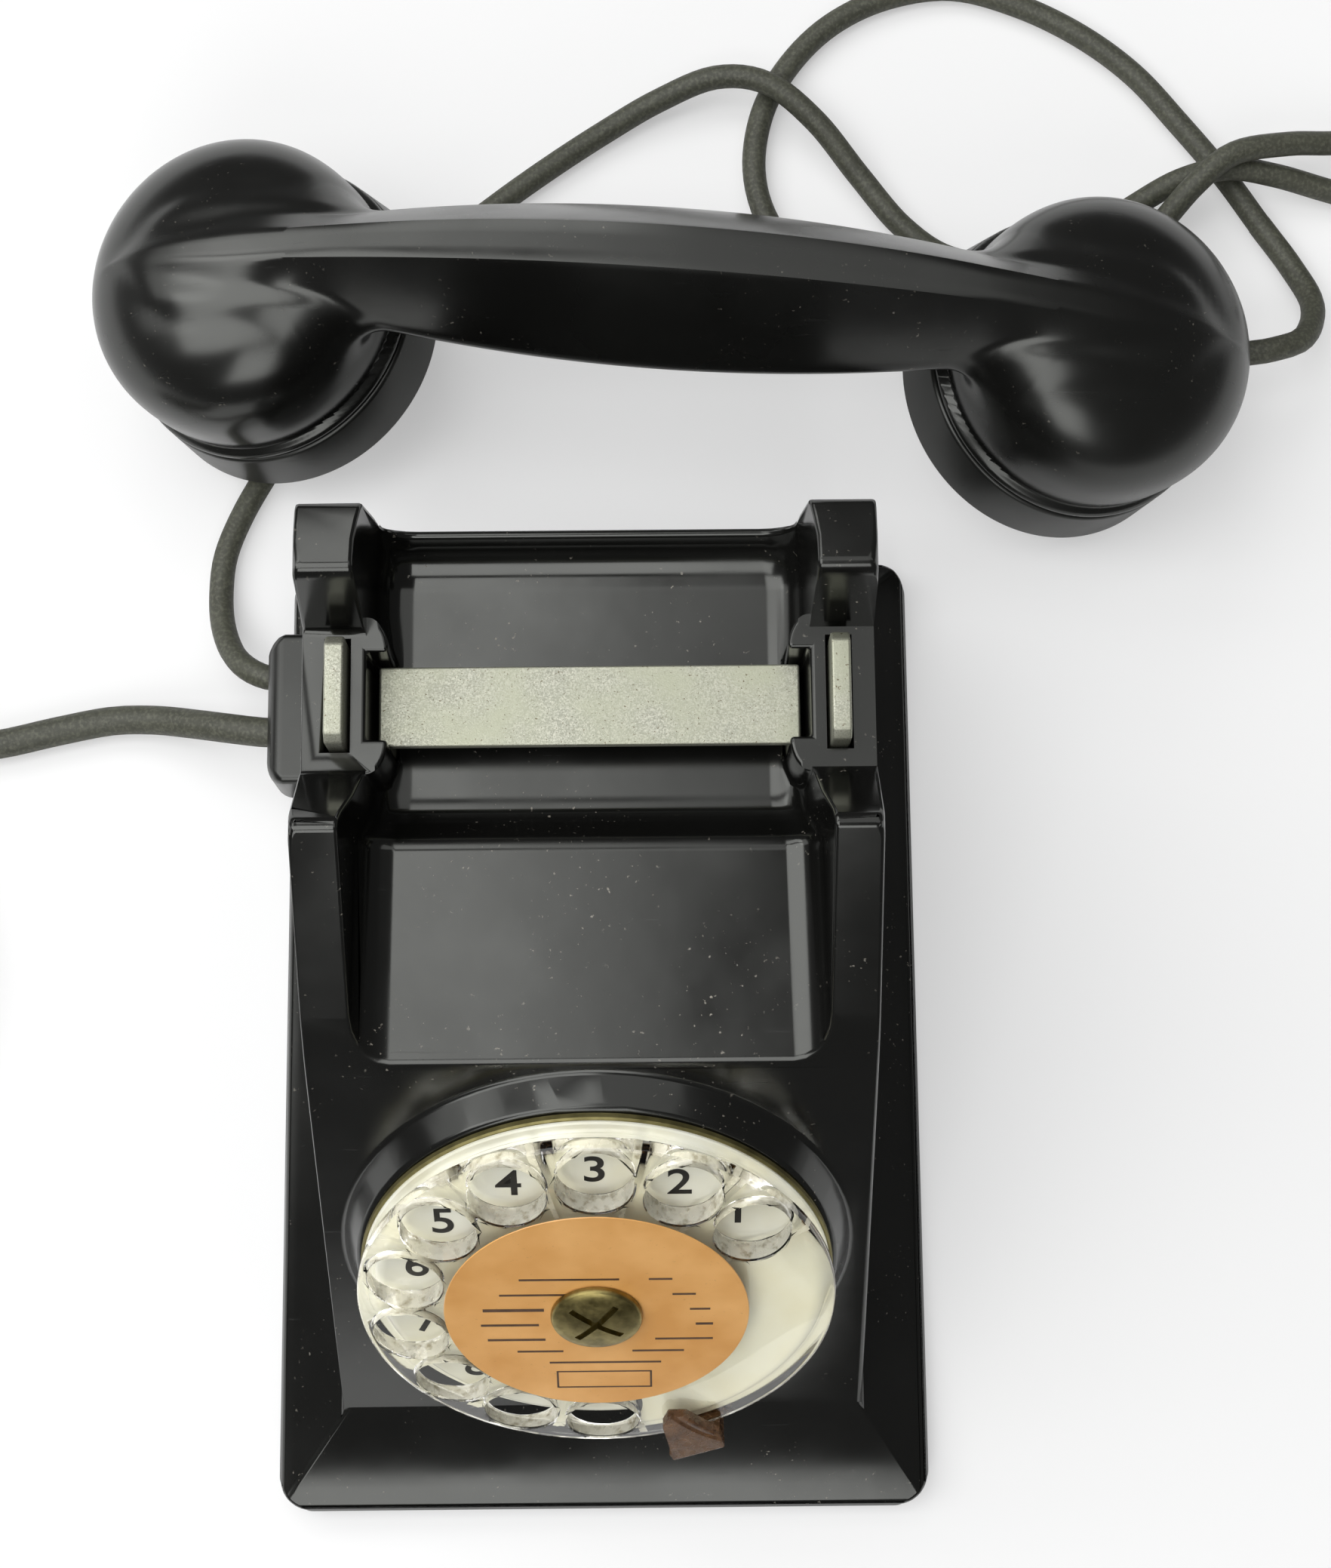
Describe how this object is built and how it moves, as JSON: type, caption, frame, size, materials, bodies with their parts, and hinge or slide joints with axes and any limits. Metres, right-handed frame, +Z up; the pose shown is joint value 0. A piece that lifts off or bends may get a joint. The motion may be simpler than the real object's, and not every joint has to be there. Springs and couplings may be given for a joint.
{
  "type": "telephone",
  "caption": "Rotary dial desk telephone with a wedge-shaped black body, a clear finger wheel, a sprung cradle bar and a corded handset lying behind it.",
  "frame": {"origin": "middle of the foot's outline, on the table that the rubber feet stand on", "axes": "+X to the user's right, +Y away from the user from the dial to the back, +Z up"},
  "size_m": [0.4295, 0.3165, 0.1232],
  "materials": {
    "bakelite": "polished black phenolic moulding",
    "black_rubber": "matte",
    "zinc_steel": "plain zinc plate",
    "worn_nickel": "worn matte nickel",
    "aged_brass": "dull",
    "enamel": "glossy cream enamel",
    "acrylic": "clear, slightly yellowed",
    "label_card": "tan card under a clear cover",
    "amber_plastic": "brown, translucent",
    "brown_fibre": "matte",
    "cord_rubber": "matte",
    "red_iron": "painted"
  },
  "bodies": {
    "base": {"housing": "bakelite", "base_plate": "zinc_steel", "feet": "black_rubber", "base_screws": "zinc_steel", "cord_gland": "bakelite", "hook_bracket": "zinc_steel", "bracket_screws": "zinc_steel", "hook_springs": "zinc_steel", "contact_stack": "brown_fibre", "contact_blades": "aged_brass", "bell_frame": "zinc_steel", "bell_yoke": "zinc_steel", "bell_coils": "brown_fibre", "bell_magnet": "red_iron", "bell_pivot": "zinc_steel", "gong_posts": "zinc_steel", "gong_left": "aged_brass", "gong_right": "aged_brass", "gong_screws": "zinc_steel", "induction_coil": "brown_fibre", "capacitor": "zinc_steel", "terminal_block": "brown_fibre", "terminal_screws": "aged_brass", "dial_ring": "aged_brass", "number_plate": "enamel", "dial_case": "zinc_steel", "case_bridge": "zinc_steel", "spring_drum": "zinc_steel", "pulse_contacts": "aged_brass", "finger_stop": "amber_plastic", "governor_bracket": "zinc_steel", "handset_cord": "cord_rubber", "line_cord": "cord_rubber", "cord_coil": "cord_rubber", "cord_tie": "black_rubber", "line_plug": "bakelite", "plug_pins": "aged_brass"},
    "finger_wheel": {"finger_wheel": "acrylic", "dial_label": "label_card", "centre_screw": "aged_brass", "dial_spindle": "zinc_steel", "main_gear": "aged_brass"},
    "dial_pinion": {"pinion_shaft": "zinc_steel", "worm_wheel": "aged_brass"},
    "governor": {"governor_shaft": "zinc_steel"},
    "hook": {"hook_lever": "worn_nickel"},
    "clapper": {"clapper": "aged_brass"},
    "handset": {"handset_shell": "bakelite", "ear_cap": "bakelite", "mouth_cap": "bakelite", "receiver": "zinc_steel", "microphone": "zinc_steel", "handset_sleeve": "cord_rubber"}
  },
  "joints": [
    {"name": "dial_turn", "type": "hinge", "parent": "base", "child": "finger_wheel", "pos_m": [0, -0.04959, 0.06046], "axis": [0, 0.8039, -0.5948], "range_deg": [0, 330], "stiffness_Nm_per_rad": 0.006, "springref_deg": -114.59},
    {"name": "pinion_turn", "type": "hinge", "parent": "base", "child": "dial_pinion", "pos_m": [0.01568, -0.04421, 0.06774], "axis": [0, 0.8039, -0.5948], "range_deg": [-1655, 5]},
    {"name": "governor_turn", "type": "hinge", "parent": "base", "child": "governor", "pos_m": [0.02373, -0.02697, 0.06077], "axis": [-0.5, 0.5151, 0.6962], "range_deg": [-10, 8260]},
    {"name": "hook_press", "type": "slide", "parent": "base", "child": "hook", "axis": [0, 0, -1], "range_m": [0, 0.0055], "stiffness_N_per_m": 250, "springref_m": -0.005, "deforming": ["hook_springs"]},
    {"name": "clapper_swing", "type": "hinge", "parent": "base", "child": "clapper", "pos_m": [0, 0.012, 0.022], "axis": [0, 0, 1], "range_deg": [-1.8, 1.8], "stiffness_Nm_per_rad": 0.002},
    {"name": "handset_lift", "type": "slide", "parent": "base", "child": "handset", "axis": [0, 0, 1], "range_m": [0, 0.12]}
  ],
  "couplings": [
    {"joint": "pinion_turn", "follows": "dial_turn", "ratio": -5},
    {"joint": "governor_turn", "follows": "dial_turn", "ratio": 25}
  ]
}
